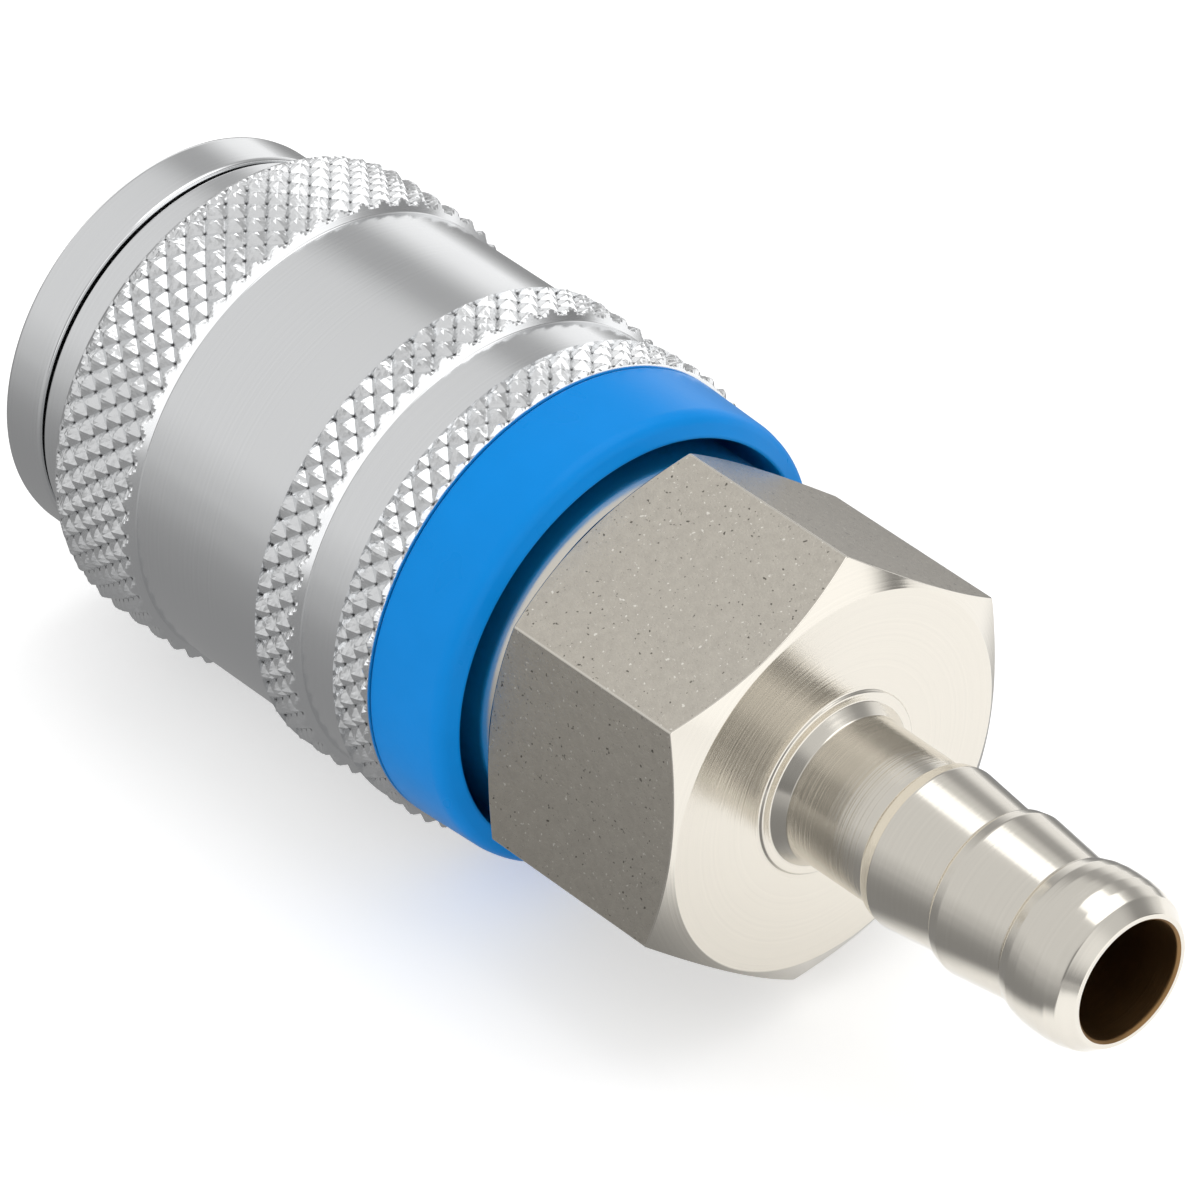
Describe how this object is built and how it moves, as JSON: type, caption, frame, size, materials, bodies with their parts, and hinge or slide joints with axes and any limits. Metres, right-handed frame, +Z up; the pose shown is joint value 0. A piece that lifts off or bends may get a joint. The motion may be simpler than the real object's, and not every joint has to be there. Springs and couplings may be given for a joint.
{
  "type": "quick disconnect coupler",
  "caption": "Compressed-air quick coupler with a knurled pull-back sleeve, coloured rear ring, wrench hexagon and ridged hose tail.",
  "frame": {"origin": "centre of the plug mouth, on the front face of the nose", "axes": "+X along the axis towards the hose tail, +Z up with the coupler lying on its side"},
  "size_m": [0.0625, 0.0236, 0.0236],
  "materials": {
    "plated_steel_turned": "turned and zinc plated, fine lathe rings",
    "plated_steel_sleeve": "turned, diamond knurled and plated",
    "nickel_plated_brass": "matte nickel plate on the flats, bright on the turned faces",
    "blue_plastic": "glossy moulded",
    "black_rubber": "matte",
    "brass": "turned",
    "spring_steel": "bright drawn wire",
    "steel_washer": "plain",
    "polished_steel": "polished"
  },
  "bodies": {
    "housing": {"front_body": "plated_steel_turned", "plug_seal": "black_rubber", "hose_tail": "nickel_plated_brass", "body_seal": "black_rubber", "valve_guide": "brass", "valve_spring": "spring_steel", "spring_seat_washer": "steel_washer", "sleeve_spring": "spring_steel"},
    "valve": {"valve_poppet": "brass", "poppet_seal": "black_rubber"},
    "carrier": {"spring_carrier": "steel_washer"},
    "sleeve": {"locking_sleeve": "plated_steel_sleeve", "colour_ring": "blue_plastic"},
    "ball_1": {"locking_ball_1": "polished_steel"},
    "ball_2": {"locking_ball_2": "polished_steel"},
    "ball_3": {"locking_ball_3": "polished_steel"},
    "ball_4": {"locking_ball_4": "polished_steel"},
    "ball_5": {"locking_ball_5": "polished_steel"},
    "ball_6": {"locking_ball_6": "polished_steel"}
  },
  "joints": [
    {"name": "sleeve_slide", "type": "slide", "parent": "housing", "child": "carrier", "axis": [1, 0, 0], "range_m": [0, 0.0013], "stiffness_N_per_m": 350, "springref_m": -0.01, "deforming": ["sleeve_spring"]},
    {"name": "sleeve_spin", "type": "hinge", "parent": "carrier", "child": "sleeve", "pos_m": [0.0116, 0, 0], "axis": [1, 0, 0], "continuous": true},
    {"name": "valve_slide", "type": "slide", "parent": "housing", "child": "valve", "axis": [1, 0, 0], "range_m": [0, 0.004], "stiffness_N_per_m": 465, "springref_m": -0.003, "deforming": ["valve_spring"]},
    {"name": "ball_1_lift", "type": "slide", "parent": "housing", "child": "ball_1", "axis": [0, 1, 0], "range_m": [0, 0.0007]},
    {"name": "ball_2_lift", "type": "slide", "parent": "housing", "child": "ball_2", "axis": [0, 0.5, 0.866], "range_m": [0, 0.0007]},
    {"name": "ball_3_lift", "type": "slide", "parent": "housing", "child": "ball_3", "axis": [0, -0.5, 0.866], "range_m": [0, 0.0007]},
    {"name": "ball_4_lift", "type": "slide", "parent": "housing", "child": "ball_4", "axis": [0, -1, 0], "range_m": [0, 0.0007]},
    {"name": "ball_5_lift", "type": "slide", "parent": "housing", "child": "ball_5", "axis": [0, -0.5, -0.866], "range_m": [0, 0.0007]},
    {"name": "ball_6_lift", "type": "slide", "parent": "housing", "child": "ball_6", "axis": [0, 0.5, -0.866], "range_m": [0, 0.0007]}
  ],
  "couplings": [
    {"joint": "ball_1_lift", "follows": "sleeve_slide", "ratio": 0.53846},
    {"joint": "ball_2_lift", "follows": "sleeve_slide", "ratio": 0.53846},
    {"joint": "ball_3_lift", "follows": "sleeve_slide", "ratio": 0.53846},
    {"joint": "ball_4_lift", "follows": "sleeve_slide", "ratio": 0.53846},
    {"joint": "ball_5_lift", "follows": "sleeve_slide", "ratio": 0.53846},
    {"joint": "ball_6_lift", "follows": "sleeve_slide", "ratio": 0.53846}
  ]
}
